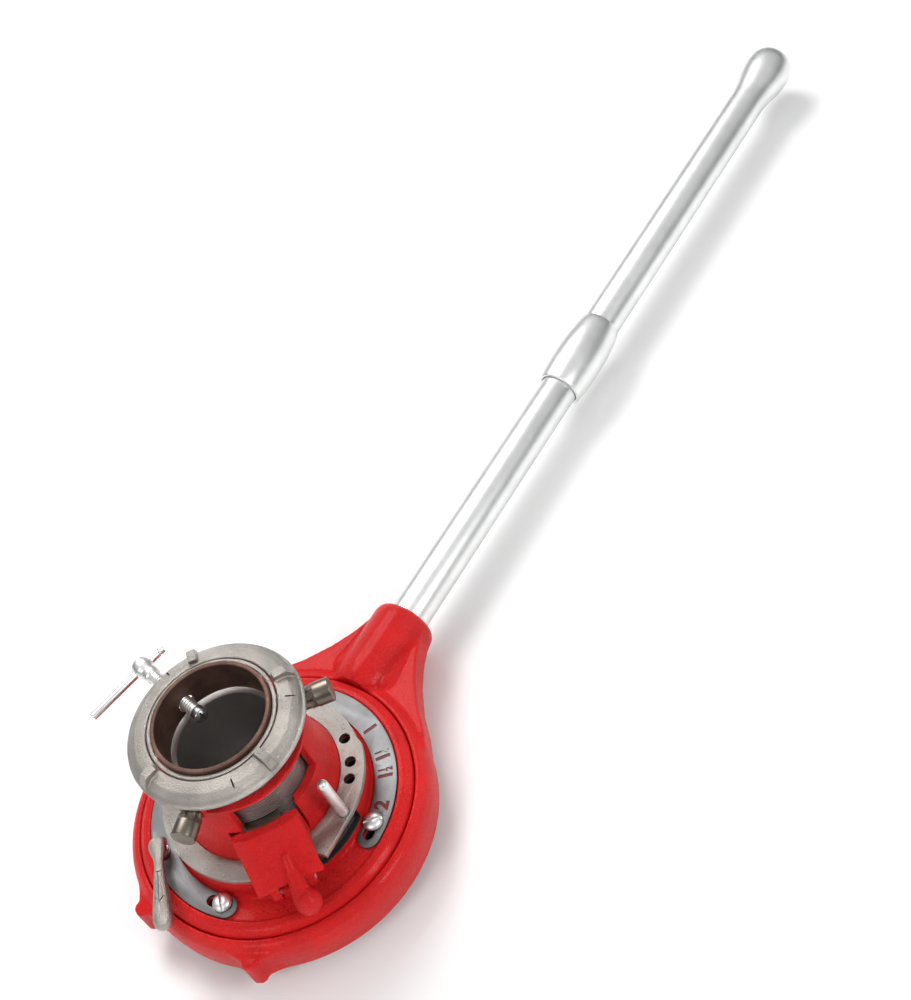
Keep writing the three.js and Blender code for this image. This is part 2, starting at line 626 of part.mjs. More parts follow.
piece('clamp_foot', alongRadius(turned([
  [0, CLAMP_TIP_R], [3, CLAMP_TIP_R], [5.2, CLAMP_TIP_R + 2], [5.2, 24.6], [0, 24.6],
], SMALL), CLAMP_ANGLE, JAW_Z), STEEL);

function clampScrew() {
  const body = turned([
    [0, 24.9], [4.5, 24.9], [4.5, 69], [5.6, 70], [5.8, 73], [5, 74.5], [6.6, 78], [7, 81],
    [6.6, 84], [4.4, 86.6], [0, 87.2],
  ], SMALL);
  const crossHole = bar(CLAMP_BAR.radius + GAP, -20, 20).rotateX(Math.PI / 2)
    .translate(0, 0, CLAMP_HEAD_R);
  return alongRadius(cut(body, [crossHole]), CLAMP_ANGLE, JAW_Z);
}

piece('clamp_screw', clampScrew(), ZINC);

const crossBar = turned([
  [0, -CLAMP_BAR.short], [1.9, -CLAMP_BAR.short], [CLAMP_BAR.radius, -CLAMP_BAR.short + 1],
  [CLAMP_BAR.radius, CLAMP_BAR.long - 1], [1.9, CLAMP_BAR.long], [0, CLAMP_BAR.long],
], SMALL).rotateX(-Math.PI / 2);
const barMesh = piece('clamp_bar', crossBar, ZINC);
barMesh.position.copy(polar(CLAMP_HEAD_R, CLAMP_ANGLE, JAW_Z));
barMesh.rotation.z = rad(CLAMP_ANGLE);

// ---------------------------------------------------------------- ratchet ring

const NECK_OUTLINE = [[19, 151], [21.5, 141], [27, 128], [34.5, 115], [47.5, 97.5], [61, 84], [69, 74]];
const SPUR_ANGLES = [-65, -115];
const SPUR_TIP_R = 110;

function neckShape() {
  const shape = new THREE.Shape();
  shape.moveTo(0, 60);
  shape.lineTo(69, 60);
  [...NECK_OUTLINE].reverse().forEach(([x, y]) => shape.lineTo(x, y));
  NECK_OUTLINE.forEach(([x, y]) => shape.lineTo(-x, y));
  shape.lineTo(-69, 60);
  return shape;
}

function spurShape(angle) {
  const shape = new THREE.Shape();
  const outline = [[96, -13], [100.4, -9], [104, -3.4], [107.6, -2.4], [SPUR_TIP_R - 0.5, -1.2]];
  const corner = ([radius, degrees]) => polar(radius, angle + degrees);
  outline.forEach((point, i) => {
    const { x, y } = corner(point);
    if (i === 0) shape.moveTo(x, y);
    else shape.lineTo(x, y);
  });
  [...outline].reverse().forEach(([radius, degrees]) => {
    const { x, y } = corner([radius, -degrees]);
    shape.lineTo(x, y);
  });
  return shape;
}

function ratchetRing() {
  const rim = turned([
    [80, RING_Z[0] + 1], [98, RING_Z[0]], [100, RING_Z[0] + 1], [100.6, -26], [RING_R, -22],
    [RING_R, -15], [99.6, -9.5], [96.5, -6], [94, RING_Z[1]], [80, RING_Z[1]],
  ]);
  const neck = extrude(neckShape(), -27, -9);
  const boss = alongHandle(turned([
    [0, 84], [16, 88], [BOSS_R - 1, 96], [BOSS_R, 106], [BOSS_R, BOSS_END_Y - 6],
    [BOSS_R - 1.6, BOSS_END_Y - 2], [BOSS_R - 5, BOSS_END_Y], [0, BOSS_END_Y],
  ], HANDLE_ROUND));
  const shoulder = alongHandle(turned([
    [0, 86], [14, 92], [19.5, 104], [17.5, 128], [0, 146]], HANDLE_ROUND).scale(1.5, 0.8, 1));
  const spurs = SPUR_ANGLES.map((angle) => extrude(spurShape(angle), -32, -10));
  const bore = turned([
    [0, -60], [93.2, -60], [93.2, -25], [GEAR_R[2] + 0.6, -25], [GEAR_R[2] + 0.6, -12.1],
    [DISC_R + 0.7, -12.1], [DISC_R + 0.7, 20], [0, 20],
  ]);
  const socket = alongHandle(bar(PIPE_OD / 2 + GAP, SOCKET_Y, BOSS_END_Y + 5, HANDLE_ROUND));
  const pawlBore = alongHandle(bar(5.5, 80, SOCKET_Y + 2), PAWL_Z);
  const setScrewHole = bar(3.4, -60, HANDLE_Z).translate(0, SET_SCREW_Y, 0);
  const knobSlot = block(-2.4, 2.4, 95.4, 107.6, -60, PAWL_Z);
  return cut(join([rim, neck, boss, shoulder, ...spurs]), [bore, socket, setScrewHole, pawlBore, knobSlot]);
}

piece('ratchet_ring', ratchetRing(), RED);

// Drawn seated in the gear, then placed held out, where the ring turns freely either way.
function pawl() {
  const plunger = alongHandle(turned([[0, 91], [4.2, 91], [5.1, 92.5], [5.1, 104], [0, 104]], SMALL), PAWL_Z);
  const wedge = new THREE.Shape();
  wedge.moveTo(-3, 93);
  wedge.lineTo(-3, 87);
  wedge.lineTo(-2, 84.2);
  wedge.lineTo(2, 84.2);
  wedge.lineTo(3, 87);
  wedge.lineTo(3, 93);
  const nose = extrude(wedge, PAWL_Z - 3.6, PAWL_Z + 3.6);
  const hole = bar(1.9, -30, PAWL_Z).translate(0, 98, 0);
  return cut(join([plunger, nose]), [hole]);
}

piece('pawl', pawl(), STEEL).position.y = PAWL_DROP;
piece('pawl_knob', turned([
  [0, -46], [5, -46], [6.2, -45], [6.2, -40.8], [5, -39.6], [1.6, -39.6], [1.6, PAWL_Z - 1], [0, PAWL_Z - 1],
], SMALL).translate(0, 98, 0), BLACK).position.y = PAWL_DROP;

// Coil spring behind the pawl: stacked turns along a helix.
class Helix extends THREE.Curve {
  constructor(radius, from, to, turns) {
    super();
    Object.assign(this, { radius, from, to, turns });
  }

  getPoint(t) {
    const angle = 2 * Math.PI * this.turns * t;
    return new THREE.Vector3(this.radius * Math.cos(angle), this.from + (this.to - this.from) * t,
      this.radius * Math.sin(angle));
  }
}

function springWire() {
  const section = new THREE.Shape();
  section.absarc(0, 0, 0.6, 0, 2 * Math.PI, false);
  return new THREE.ExtrudeGeometry(section, {
    steps: 40, bevelEnabled: false, curveSegments: 4, extrudePath: new Helix(3.4, 105 + PAWL_DROP, 120.6, 5),
  }).translate(0, 0, PAWL_Z);
}

piece('pawl_spring', springWire(), STEEL);

// ---------------------------------------------------------------- handle

const COUPLING_Y = [362, 424];

function handleTube(from, to) {
  return alongHandle(turned([
    [PIPE_ID / 2, from], [PIPE_OD / 2, from], [PIPE_OD / 2, to], [PIPE_ID / 2, to],
  ], HANDLE_ROUND));
}

piece('handle_tube', cut(handleTube(SOCKET_Y + 1, 391),
  [bar(3.4, -60, HANDLE_Z).translate(0, SET_SCREW_Y, 0)]), ZINC);

piece('handle_coupling', alongHandle(turned([
  [PIPE_OD / 2 + GAP, COUPLING_Y[0]], [15.6, COUPLING_Y[0]], [16.2, COUPLING_Y[0] + 2.5],
  [17.3, COUPLING_Y[0] + 13], [17.7, COUPLING_Y[0] + 27], [17.2, COUPLING_Y[0] + 42],
  [15.6, COUPLING_Y[1] - 5], [14.4, COUPLING_Y[1]], [PIPE_OD / 2 + GAP, COUPLING_Y[1]],
], HANDLE_ROUND)), ZINC);

piece('handle_grip_tube', alongHandle(turned([
  [PIPE_ID / 2, 392], [PIPE_OD / 2, 392], [PIPE_OD / 2, 664], [14.4, 674], [16.8, 686],
  [17.9, 697], [17.2, 706], [13.6, 712.6], [7, HANDLE_TIP_Y - 0.8], [0, HANDLE_TIP_Y],
  [0, 690], [PIPE_ID / 2, 670],
], HANDLE_ROUND)), ZINC);

piece('handle_set_screw', bar(3.1, -37, HANDLE_Z - PIPE_ID / 2 - 1).translate(0, SET_SCREW_Y, 0), STEEL);

// ---------------------------------------------------------------- placing in the part's frame

threader.position.set(0, -(HANDLE_TIP_Y + LEAST_Y) / 2, -BASE_Z);

export default threader;
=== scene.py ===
"""Looks of the ratchet pipe threader: castings, threads, engraved dial and finishes on the fixed frame.

Shapes are drawn in millimetres in the tool frame: the tool axis is vertical, z = 0 is the top of the
size plate and the handle lies along +Y. TO_FRAME then puts each piece in the part's frame, in metres.
"""
import json
from math import atan2, ceil, cos, degrees, radians, sin, tau

import bmesh
import bpy
from mathutils import Matrix, Vector

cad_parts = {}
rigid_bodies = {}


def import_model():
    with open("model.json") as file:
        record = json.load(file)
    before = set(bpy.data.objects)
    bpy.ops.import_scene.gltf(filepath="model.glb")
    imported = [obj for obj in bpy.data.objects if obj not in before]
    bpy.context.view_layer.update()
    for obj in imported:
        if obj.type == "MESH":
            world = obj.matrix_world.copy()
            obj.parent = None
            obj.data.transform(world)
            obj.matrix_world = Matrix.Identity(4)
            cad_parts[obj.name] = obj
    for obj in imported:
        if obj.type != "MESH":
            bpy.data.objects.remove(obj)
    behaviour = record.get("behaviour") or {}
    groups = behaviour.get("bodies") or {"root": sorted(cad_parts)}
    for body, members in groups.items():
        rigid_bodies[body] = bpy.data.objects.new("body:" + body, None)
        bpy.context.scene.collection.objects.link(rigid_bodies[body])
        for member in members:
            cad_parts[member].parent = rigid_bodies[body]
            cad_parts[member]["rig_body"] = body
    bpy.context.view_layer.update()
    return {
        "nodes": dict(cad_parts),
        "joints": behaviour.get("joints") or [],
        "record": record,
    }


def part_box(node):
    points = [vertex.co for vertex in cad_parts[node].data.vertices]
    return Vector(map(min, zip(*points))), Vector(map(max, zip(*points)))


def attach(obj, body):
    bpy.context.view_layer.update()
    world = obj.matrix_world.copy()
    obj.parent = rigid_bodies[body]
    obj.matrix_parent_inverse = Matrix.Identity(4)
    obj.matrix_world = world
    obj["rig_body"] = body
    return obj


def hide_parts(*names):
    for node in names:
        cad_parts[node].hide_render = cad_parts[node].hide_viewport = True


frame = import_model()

NODES = frame["nodes"]
SLOT_OF = {row["node"]: row["material_slot"] for row in frame["record"]["subparts"]}
JOINTS = {joint["name"]: joint for joint in frame["joints"]}
AXIS = Vector(JOINTS["ratchet_turn"]["pos_m"])
PLATE_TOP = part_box("size_plate")[1].z
TO_FRAME = Matrix.Translation((AXIS.x, AXIS.y, PLATE_TOP)) @ Matrix.Scale(0.001, 4)

GAP = 0.3
HANDLE_Z = -17.2
JAW_Z = 82
CLAMP_ANGLE = 167
BLOCK_ANGLE = -40
JAW_ANGLES = (46.5, -73.5)
ROUND = 144                # steps round a large turned piece
FINE = 48                  # steps round a small one


# ---------------------------------------------------------------- finishes

def look(slot, tint, metallic, rough, grain, bump,
         coat=0.0, vary=0.25, stretch=(1, 1, 1), wear_and_sheen=0.0, gloss=0.5):
    """Finish with drifting colour, grainy roughness and a fine relief, brighter on convex edges: partly
    rubbed wear, partly a painted highlight on thread crests.
    """
    mat = bpy.data.materials.new(slot)
    mat.use_nodes = True
    tree = mat.node_tree
    shader = tree.nodes["Principled BSDF"]
    shader.inputs["Metallic"].default_value = metallic
    shader.inputs["Coat Weight"].default_value = coat
    shader.inputs["Specular IOR Level"].default_value = gloss
    shader.inputs["Coat Roughness"].default_value = 0.12

    def add(kind, **values):
        node = tree.nodes.new(kind)
        for name, value in values.items():
            node.inputs[name].default_value = value
        return node

    def join(a, out, b, into):
        tree.links.new(a.outputs[out], b.inputs[into])

    place = add("ShaderNodeTexCoord")
    mapping = add("ShaderNodeMapping", Scale=stretch)
    join(place, "Object", mapping, "Vector")
    broad = add("ShaderNodeTexNoise", Scale=55.0, Detail=5.0)
    fine = add("ShaderNodeTexNoise", Scale=grain, Detail=6.0, Roughness=0.65)
    for noise in (broad, fine):
        join(mapping, "Vector", noise, "Vector")

    ramp = add("ShaderNodeValToRGB")
    ramp.color_ramp.elements[0].position = 0.3
    ramp.color_ramp.elements[1].position = 0.72
    ramp.color_ramp.elements[0].color = (*[c * (1 - vary) for c in tint], 1)
    ramp.color_ramp.elements[1].color = (*[min(c * (1 + vary), 1) for c in tint], 1)
    join(broad, "Fac", ramp, "Fac")

    # Convex edges are lightened: rubbed wear on most finishes, and on black_oxide a painted highlight on the
    # thread crests.
    shape = add("ShaderNodeNewGeometry")
    edge_wear_and_sheen = add("ShaderNodeMapRange")
    edge_wear_and_sheen.inputs["From Min"].default_value = 0.52
    edge_wear_and_sheen.inputs["From Max"].default_value = 0.6
    edge_wear_and_sheen.inputs["To Max"].default_value = wear_and_sheen
    join(shape, "Pointiness", edge_wear_and_sheen, "Value")
    mix = add("ShaderNodeMix")
    mix.data_type = "RGBA"
    mix.inputs[7].default_value = (*[min(c * 1.5 + 0.12, 1) for c in tint], 1)
    join(edge_wear_and_sheen, "Result", mix, 0)
    join(ramp, "Color", mix, 6)
    tree.links.new(mix.outputs[2], shader.inputs["Base Color"])

    spread = add("ShaderNodeMapRange")
    spread.inputs["From Min"].default_value = 0.3
    spread.inputs["From Max"].default_value = 0.7
    spread.inputs["To Min"].default_value = rough[0]
    spread.inputs["To Max"].default_value = rough[1]
    join(fine, "Fac", spread, "Value")
    join(spread, "Result", shader, "Roughness")

    relief = add("ShaderNodeBump", Strength=0.6, Distance=bump)
    join(fine, "Fac", relief, "Height")
    join(relief, "Normal", shader, "Normal")
    return mat


LOOKS = {
    "red_enamel": look("red_enamel", (0.78, 0.008, 0.009), 0, (0.34, 0.5), 700, 0.006,
                       coat=0.1, vary=0.1, gloss=0.3),
    "nickel_casting": look("nickel_casting", (0.43, 0.4, 0.365), 1, (0.24, 0.44), 900, 0.0014,
                           vary=0.2, wear_and_sheen=0.6),
    "zinc_steel": look("zinc_steel", (0.86, 0.87, 0.86), 1, (0.36, 0.44), 260, 0.00001, vary=0.06),
    "dial_steel": look("dial_steel", (0.24, 0.24, 0.243), 1, (0.44, 0.6), 1100, 0.0003, vary=0.18),
    "dark_bronze": look("dark_bronze", (0.17, 0.145, 0.115), 1, (0.28, 0.46), 800, 0.00006, wear_and_sheen=0.5),
    # black_oxide: its strong edge lightening paints a highlight on the lead screw's thread crests, besides
    # edge wear.
    "black_oxide": look("black_oxide", (0.36, 0.345, 0.335), 1, (0.3, 0.46), 900, 0.00006, wear_and_sheen=0.9),
    "brown_steel": look("brown_steel", (0.12, 0.062, 0.045), 0.7, (0.4, 0.68), 600, 0.0005,
                        vary=0.4, wear_and_sheen=0.5),
    "plain_steel": look("plain_steel", (0.34, 0.34, 0.35), 1, (0.26, 0.42), 500, 0.00004,
                        vary=0.12, stretch=(1, 1, 6), wear_and_sheen=0.4),
}
# Near-black painted shade for the drum's catch holes, slot pockets and side recess, standing in for the
# shadow inside them.
POCKET_SHADE = look("painted_pocket_shade", (0.05, 0.045, 0.042), 0.6, (0.5, 0.75), 500, 0.0004)
INK = look("dial_ink", (0.13, 0.004, 0.006), 0, (0.45, 0.65), 1400, 0.00006)


# ---------------------------------------------------------------- making shapes

def polar(radius, angle, z=0.0):
    return Vector((radius * cos(radians(angle)), radius * sin(radians(angle)), z))


def arc(radius, start, end, step=2.0, centre=(0, 0)):
    """Points [x, y] of an arc, ends included."""
    count = max(int(abs(end - start) / step), 1)
    angles = [start + (end - start) * k / count for k in range(count + 1)]
    return [(centre[0] + radius * cos(radians(a)), centre[1] + radius * sin(radians(a))) for a in angles]


def solid(verts, faces):
    mesh = bpy.data.meshes.new("solid")
    mesh.from_pydata([tuple(v) for v in verts], [], faces)
    work = bmesh.new()
    work.from_mesh(mesh)
    bmesh.ops.remove_doubles(work, verts=work.verts, dist=1e-4)
    bmesh.ops.recalc_face_normals(work, faces=work.faces)
    work.to_mesh(mesh)
    work.free()
    obj = bpy.data.objects.new("solid", mesh)
    bpy.context.scene.collection.objects.link(obj)
    return obj


def softened(outline, size, steps=3):
    """Closed outline with each corner off the axis turned into a short curve."""
    points = []
    for i, corner in enumerate(outline):
        here = Vector(corner)
        back = Vector(outline[i - 1]) - here
        on = Vector(outline[(i + 1) % len(outline)]) - here
        if size == 0 or abs(here.x) < 1e-6 or back.angle(on) > radians(170):
            points.append(here)
            continue
        reach = min(size, 0.45 * back.length, 0.45 * on.length)
        first = here + back.normalized() * reach
        last = here + on.normalized() * reach
        for k in range(steps + 1):
            t = k / steps
            points.append(first * (1 - t) ** 2 + here * (2 * t * (1 - t)) + last * t ** 2)
    return points


def lathe(profile, size=0.5, steps=ROUND):
    """Turned piece about +Z from a closed [radius, z] profile with softened corners."""
    points = softened(profile, size)
    count = len(points)
    verts = [(p.x * cos(tau * k / steps), p.x * sin(tau * k / steps), p.y)
             for k in range(steps) for p in points]
    faces = [(k * count + i, k * count + (i + 1) % count,
              (k + 1) % steps * count + (i + 1) % count, (k + 1) % steps * count + i)
             for k in range(steps) for i in range(count)]
    return solid(verts, faces)


def tube(inner, outer, z0, z1, size=0.0, steps=ROUND):
    return lathe([(inner, z0), (outer, z0), (outer, z1), (inner, z1)], size, steps)


def rod(radius, z0, z1, size=0.0, steps=FINE):
    return lathe([(0, z0), (radius, z0), (radius, z1), (0, z1)], size, steps)


def prism(outline, z0, z1):
    count = len(outline)
    verts = [(x, y, z) for z in (z0, z1) for x, y in outline]
    sides = [(i, (i + 1) % count, count + (i + 1) % count, count + i) for i in range(count)]
    return solid(verts, [tuple(reversed(range(count))), tuple(range(count, 2 * count)), *sides])


def block(x0, x1, y0, y1, z0, z1):
    return prism([(x0, y0), (x1, y0), (x1, y1), (x0, y1)], z0, z1)


def thread(root, crest, inner, z0, z1, pitch, steps=ROUND):
    """Bar or tube with a real helical thread between z0 and z1."""
    phases = ((0.0, root), (0.14, root), (0.46, crest), (0.68, crest))
    turns = ceil((z1 - z0) / pitch) + 1
    columns = []
    for k in range(steps + 1):
        around = tau * k / steps
        column = [(inner, z0), (root, z0)]
        for turn in range(-1, turns):
            for phase, radius in phases:
                z = z0 + (turn + phase + k / steps) * pitch
                inside = z0 < z < z1
                column.append((radius if inside else root, min(max(z, z0), z1)))
        column += [(root, z1), (inner, z1)]
        columns.append([(r * cos(around), r * sin(around), z) for r, z in column])
    count = len(columns[0])
    verts = [v for column in columns for v in column]
    faces = [(k * count + i, k * count + (i + 1) % count,
              (k + 1) * count + (i + 1) % count, (k + 1) * count + i)
             for k in range(steps) for i in range(count)]
    return solid(verts, faces)


def applied(obj):
    """Bakes the object's modifiers into its mesh."""
    bpy.context.view_layer.update()
    mesh = bpy.data.meshes.new_from_object(obj.evaluated_get(bpy.context.evaluated_depsgraph_get()))
    obj.modifiers.clear()
    obj.data = mesh
    return obj


def combined(obj, others, operation):
    for other in others:
        modifier = obj.modifiers.new("combine", "BOOLEAN")
        modifier.operation = operation
        modifier.solver = "EXACT"
        modifier.object = other
        applied(obj)
        bpy.data.objects.remove(other)
    return obj


def cut(obj, *tools):
    return combined(obj, tools, "DIFFERENCE")


def joined(obj, *others):
    return combined(obj, others, "UNION")


def cast(obj, voxel, smoothing):
    """Sand-cast skin: every edge and inner corner takes a small radius."""
    remesh = obj.modifiers.new("skin", "REMESH")
    remesh.mode = "VOXEL"
    remesh.voxel_size = voxel
    smooth = obj.modifiers.new("flow", "SMOOTH")
    smooth.factor = 0.5
    smooth.iterations = smoothing
    return applied(obj)


def eased(obj, width, segments=2):
    bevel = obj.modifiers.new("ease", "BEVEL")
    bevel.width = width
    bevel.segments = segments
    bevel.limit_method = "ANGLE"
    bevel.angle_limit = radians(35)
    return applied(obj)


def moved(obj, *matrices):
    for matrix in matrices:
        obj.data.transform(matrix)
    return obj


def turn(angle, axis="Z"):
    return Matrix.Rotation(radians(angle), 4, axis)


def shift(x, y, z):
    return Matrix.Translation((x, y, z))


def on_radius(obj, angle):
    """Lays a piece drawn along +Z on a radius of the tool at the jaws' height."""
    return moved(obj, turn(90, "Y"), turn(angle), shift(0, 0, JAW_Z))


def on_handle(obj, z=HANDLE_Z):
    return moved(obj, turn(-90, "X"), shift(0, 0, z))


def show(obj, node, angle=35, name=None, replaces=True, finish=None):
    """Puts a finished shape in the frame: smooth shading, material, body and the node it stands for."""
    moved(obj, TO_FRAME)
    obj.name = name or f"{node}_detail"
    obj.data.polygons.foreach_set("use_smooth", [True] * len(obj.data.polygons))
    obj.data.set_sharp_from_angle(angle=radians(angle))
    obj.data.materials.clear()
    obj.data.materials.append(finish or LOOKS[SLOT_OF[node]])
    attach(obj, NODES[node]["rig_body"])
    if replaces:
        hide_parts(node)


def refined(node, width=0.25):
    """The CAD shape of a small or hidden piece, with its edges broken."""
    mesh = NODES[node].data.copy()
    obj = bpy.data.objects.new("refined", mesh)
    bpy.context.scene.collection.objects.link(obj)
    mesh.transform(TO_FRAME.inverted())
    work = bmesh.new()
    work.from_mesh(mesh)
    bmesh.ops.remove_doubles(work, verts=work.verts, dist=1e-3)
    bmesh.ops.dissolve_limit(work, angle_limit=radians(1), verts=work.verts, edges=work.edges)
    work.to_mesh(mesh)
    work.free()
    show(eased(obj, width), node)


# ---------------------------------------------------------------- camera, floor and light

def studio():
    camera = bpy.data.objects.new("camera", bpy.data.cameras.new("camera"))
    camera.data.lens = 69.5
    camera.data.sensor_width = 36
    camera.data.clip_end = 20
    right = Vector((0.81049, 0.50554, -0.29586))
    up = Vector((-0.25752, 0.76119, 0.59521))
    back = Vector((0.52611, -0.40623, 0.74712))
    facing = Matrix((right, up, back)).transposed().to_4x4()
    camera.matrix_world = Matrix.Translation((0.6822, -0.5961, 1.0303)) @ facing
    bpy.context.scene.collection.objects.link(camera)
    bpy.context.scene.camera = camera

    floor = solid([(x, y, 0) for x, y in ((-6, -6), (6, -6), (6, 6), (-6, 6))], [(0, 1, 2, 3)])
    floor.name = "floor"
    paper = bpy.data.materials.new("paper")
    paper.use_nodes = True
    shader = paper.node_tree.nodes["Principled BSDF"]
    shader.inputs["Base Color"].default_value = (0.94, 0.94, 0.94, 1)
    shader.inputs["Roughness"].default_value = 0.9
    floor.data.materials.append(paper)

    world = bpy.data.worlds.new("studio")
    world.use_nodes = True
    tree = world.node_tree
    place = tree.nodes.new("ShaderNodeTexCoord")
    split = tree.nodes.new("ShaderNodeSeparateXYZ")
    ramp = tree.nodes.new("ShaderNodeValToRGB")
    ramp.color_ramp.elements[0].position = 0.12
    ramp.color_ramp.elements[0].color = (0.05, 0.05, 0.055, 1)
    ramp.color_ramp.elements[1].position = 0.75
    ramp.color_ramp.elements[1].color = (1, 1, 1, 1)
    tree.links.new(place.outputs["Generated"], split.inputs["Vector"])
    tree.links.new(split.outputs["Z"], ramp.inputs["Fac"])
    tree.links.new(ramp.outputs["Color"], tree.nodes["Background"].inputs["Color"])
    tree.nodes["Background"].inputs["Strength"].default_value = 0.6
    bpy.context.scene.view_settings.view_transform = "Standard"
    bpy.context.scene.world = world

    target = Vector((0, -0.15, 0.04))
    lamps = (("key", (-0.9, 0.4, 1.5), 0.9, 23), ("fill", (1.3, -0.1, 1.0), 0.5, 8),
             ("front", (0.1, -1.6, 1.1), 0.6, 7))
    for name, spot, size, power in lamps:
        data = bpy.data.lights.new(name, "AREA")
        data.size = size
        data.energy = power
        lamp = bpy.data.objects.new(name, data)
        lamp.location = spot
        lamp.rotation_euler = (target - Vector(spot)).to_track_quat("-Z", "Y").to_euler()
        bpy.context.scene.collection.objects.link(lamp)


# ---------------------------------------------------------------- die head

# Radii in millimetres and angles in degrees round the tool axis.
LINK_R, LINK_ANGLES, SWEEP = 57.5, (75, 155, 240), 57
CATCH_R, CATCH_HOLES = 58.7, (54.8, 37.2, 25.5)
SLOT_R, DIAL_SLOTS = 73.9, ((3, 12), (-86.5, -78.5))
SCREW_R, SIZE_SCREWS = 73.5, (9.5, -80.5)
COVER_R, COVER_SCREWS = 74, (0, 90, 180, 270)
STUD_R, STUD_ANGLE = 76, -127.6
PIVOT_R, PIVOT_Z = 71.5, 9.5              # pivot of the throw-out lever
PIN_AXIS = Vector(JOINTS["selector_pin_lift"]["axis"]).normalized()
PIN_PLACE = Matrix.Translation(polar(62.8, 4, 19.1)) @ PIN_AXIS.to_track_quat("Z", "Y").to_matrix().to_4x4()


def arc_slot(radius, half, start, end, z0, z1):
    a, b = polar(radius, start), polar(radius, end)
    outline = (arc(radius + half, start, end) + arc(half, end, end + 180, 15, (b.x, b.y))
               + arc(radius - half, end, start) + arc(half, start + 180, start + 360, 15, (a.x, a.y)))
    return prism(outline, z0, z1)


def sector(inner, outer, start, end, z0, z1):
    return prism(arc(outer, start, end) + arc(inner, end, start), z0, z1)


def drum():
    body = lathe([(41.5, -24.2), (70, -24.2), (70, -44), (78, -44), (78, -11.7), (91.6, -11.7), (91.6, -4.6),
                  (88, -1.2), (83, -0.3), (82.9, -2.6), (67.4, -2.6), (65.5, 0), (65.5, 13.6), (64.3, 14.8),
                  (41.5, 14.8)], 0.6)
    lug = moved(block(62.5, 74.9, -8, 8, -2, 13), turn(BLOCK_ANGLE))
    tools = [arc_slot(LINK_R, 3.8, a - 2, a + SWEEP + 2, -30, 20) for a in LINK_ANGLES]
    tools.append(sector(60, 66.5, -23, 10, 1.5, 12.5))
    tools += [arc_slot(SLOT_R, 3, a, b, -10.5, 0) for a, b in DIAL_SLOTS]
    tools += [moved(rod(3.7, 8, 20), shift(*polar(CATCH_R, a))) for a in CATCH_HOLES]
    tools += [moved(rod(3.2, -16, 1), shift(*polar(SCREW_R, a))) for a in SIZE_SCREWS]
    tools.append(moved(rod(3.2, -9, 1), shift(*polar(STUD_R, STUD_ANGLE))))
    tools += [moved(rod(2.9, -60, -36.5), shift(*polar(COVER_R, a))) for a in COVER_SCREWS]
    tools.append(moved(rod(2.6, -12, 12), turn(90, "X"), shift(PIVOT_R, 0, PIVOT_Z), turn(BLOCK_ANGLE)))
    body = cast(cut(joined(body, lug), *tools), 0.8, 3)
    # Faces inside the pockets take the near-black painted shade instead of the red enamel.
    shaded_faces = [in_pocket(polygon.center) for polygon in body.data.polygons]
    show(body, "drum_body", 60)
    body.data.materials.append(POCKET_SHADE)
    body.data.polygons.foreach_set("material_index", [int(flag) for flag in shaded_faces])


def in_pocket(point):
    """Whether a point on the drum lies in a catch hole, a screw slot or the side recess, where near-black
    painted shade stands in for the shadow inside.
    """
    radius, angle = point.xy.length, degrees(atan2(point.y, point.x))
    hole = any((point.xy - polar(CATCH_R, a).xy).length < 4.3 for a in CATCH_HOLES) and 7 < point.z < 14.4
    slot = any(a - 4 < angle < b + 4 for a, b in DIAL_SLOTS) and 70 < radius < 77.5 and -11 < point.z < -3
    recess = -24 < angle < 11 and 59 < radius < 65.2 and 1.2 < point.z < 12.9
    return hole or slot or recess


def cage():
    shell = lathe([(41.5, 15.1), (52, 15.1), (52, 20), (50, 24), (48.4, 31), (47.5, 42), (47.5, 70.2),
                   (41.5, 70.2)], 0.8)
    window = sector(30, 60, -56, 21, 44, 67.5)
    opening = moved(block(30, 60, -21.9, 21.9, 20.5, 44.2), turn(BLOCK_ANGLE))
    show(cast(cut(shell, window, opening), 0.6, 3), "hub_cage", 60)


def from_curve(curve):
    """Mesh object of a curve or of text."""
    shape = bpy.data.objects.new("shape", curve)
    bpy.context.scene.collection.objects.link(shape)
    bpy.context.view_layer.update()
    mesh = bpy.data.meshes.new_from_object(shape.evaluated_get(bpy.context.evaluated_depsgraph_get()))
    bpy.data.objects.remove(shape)
    obj = bpy.data.objects.new("shape", mesh)
    bpy.context.scene.collection.objects.link(obj)
    return obj


def number(text, size, x=0.0, y=0.0, depth=0.5):
    """Solid digits centred at x, y, from z = 0 downwards."""
    curve = bpy.data.curves.new("digits", "FONT")
    curve.body = text
    curve.size = size
    curve.align_x = "CENTER"
    curve.align_y = "CENTER"
    curve.extrude = depth / 2
    curve.offset = size * 0.05
    digits = from_curve(curve)
    work = bmesh.new()
    work.from_mesh(digits.data)
    bmesh.ops.remove_doubles(work, verts=work.verts, dist=1e-4)
    work.to_mesh(digits.data)
    work.free()
    return moved(digits, shift(x, y, 0))


def dial_marks(top, depth):
    """The sizes round the dial, their tops towards the tool axis: [text, height, across, up]."""
    whole, part = 12.6, 6
    marks = {63.5: [("1", whole, 0, 0)], 18.8: [("2", whole, 0, 0)]}
    for angle, lower in ((46.9, "4"), (36.4, "2")):
        marks[angle] = [("1", whole, -2.4, 0), ("1", part, 2, 2.5), (lower, part, 2, -2.5)]
    made = []
    for angle, items in marks.items():
        for text, size, x, y in items:
            digits = number(text, size, x, y, depth)
            made.append(moved(digits, turn(angle + 90), shift(*polar(75.3, angle, top - depth / 2))))
    return made


